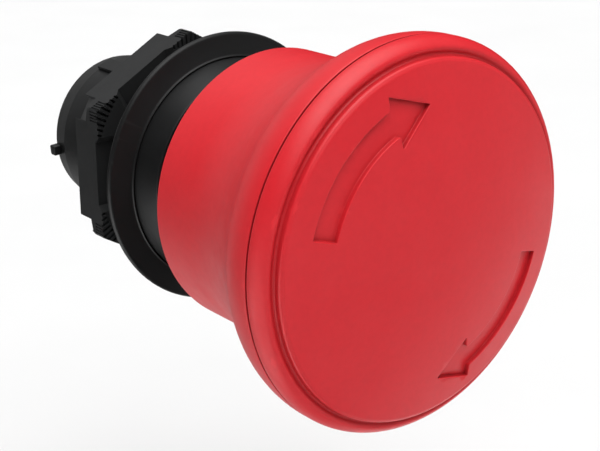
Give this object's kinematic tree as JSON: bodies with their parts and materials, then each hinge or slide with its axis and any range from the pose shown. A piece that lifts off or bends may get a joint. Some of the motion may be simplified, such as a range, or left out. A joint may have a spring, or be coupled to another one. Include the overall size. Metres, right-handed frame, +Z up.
{
  "type": "emergency stop button operator",
  "caption": "Round red mushroom push button for a 22 mm panel hole, latching when pressed and released by turning, with black bezel and hexagonal ring nut.",
  "frame": {"origin": "on the operator's axis at the plane of the panel's front face, which the gasket's rear face touches", "axes": "-Y out of the panel towards the operator, +Y into the panel, +Z up with the locating key at the top, +X to the operator's right"},
  "size_m": [0.04, 0.0605, 0.04],
  "materials": {
    "red_plastic": "satin moulded, fine grain",
    "black_plastic": "satin moulded, glass filled",
    "nut_plastic": "satin moulded, glass filled",
    "black_rubber": "matt",
    "white_plastic": "natural acetal",
    "grey_plastic": "satin moulded",
    "die_cast": "zinc die casting",
    "zinc_steel": "bright zinc plate",
    "spring_steel": "drawn wire"
  },
  "bodies": {
    "housing": {"housing": "black_plastic", "bezel_ring": "black_plastic", "panel_gasket": "black_rubber", "guide_bush": "white_plastic", "lip_seal": "black_rubber", "seal_retainer": "grey_plastic", "spring_seat": "white_plastic", "snap_ring": "spring_steel", "return_spring": "spring_steel"},
    "nut": {"ring_nut": "nut_plastic"},
    "plunger": {"stem": "zinc_steel", "latch_carrier": "die_cast", "carrier_pin": "zinc_steel", "pusher": "white_plastic", "tail_clip": "spring_steel", "stop_plate": "zinc_steel", "stop_pin": "zinc_steel", "head_screw": "zinc_steel", "latch_springs": "spring_steel"},
    "left_slide": {"latch_slide_left": "zinc_steel"},
    "right_slide": {"latch_slide_right": "zinc_steel"},
    "head": {"head_cap": "red_plastic", "head_shell": "red_plastic", "head_core": "white_plastic", "core_screws": "zinc_steel", "release_sleeve": "white_plastic", "twist_spring": "spring_steel"}
  },
  "joints": [
    {"name": "press", "type": "slide", "parent": "housing", "child": "plunger", "axis": [0, 1, 0], "range_m": [0, 0.006], "deforming": ["return_spring", "latch_springs"]},
    {"name": "twist", "type": "hinge", "parent": "plunger", "child": "head", "pos_m": [0, -0.03, 0], "axis": [0, 1, 0], "range_deg": [0, 45], "stiffness_Nm_per_rad": 0.02, "deforming": ["twist_spring"]},
    {"name": "latch_left", "type": "slide", "parent": "plunger", "child": "left_slide", "axis": [-1, 0, 0], "range_m": [0, 0.0014]},
    {"name": "latch_right", "type": "slide", "parent": "plunger", "child": "right_slide", "axis": [1, 0, 0], "range_m": [0, 0.0014]},
    {"name": "nut_turn", "type": "hinge", "parent": "housing", "child": "nut", "pos_m": [0, 0.006, 0], "axis": [0, 1, 0], "continuous": true}
  ],
  "couplings": [
    {"joint": "latch_left", "follows": "press", "ratio": 0.23333},
    {"joint": "latch_right", "follows": "press", "ratio": 0.23333}
  ]
}
